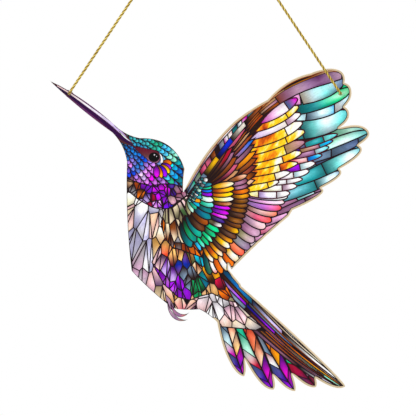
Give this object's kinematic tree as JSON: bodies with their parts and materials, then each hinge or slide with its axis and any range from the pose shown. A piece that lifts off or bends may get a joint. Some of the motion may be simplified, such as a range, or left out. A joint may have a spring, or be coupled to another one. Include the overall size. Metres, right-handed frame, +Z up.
{
  "type": "hummingbird suncatcher",
  "caption": "Flat hummingbird cut from clear printed acrylic, wings raised and tail fanned, hanging by a gold cord knotted through holes in its bill and wing tip.",
  "frame": {"origin": "where a hook bears on the inside of the cord's bend, midway above the two holes", "axes": "+Z up, the sheet stands in the XZ plane with its printed front facing -Y, and the bill points towards -X"},
  "size_m": [0.1999, 0.0125, 0.3099],
  "materials": {
    "printed_acrylic": "gloss, printed in stained glass colours with dark lines",
    "gold_cord": "metallic thread"
  },
  "bodies": {
    "root": {"acrylic_sheet": "printed_acrylic", "hanging_cord": "gold_cord", "bill_knot": "gold_cord", "wing_knot": "gold_cord"}
  },
  "joints": []
}
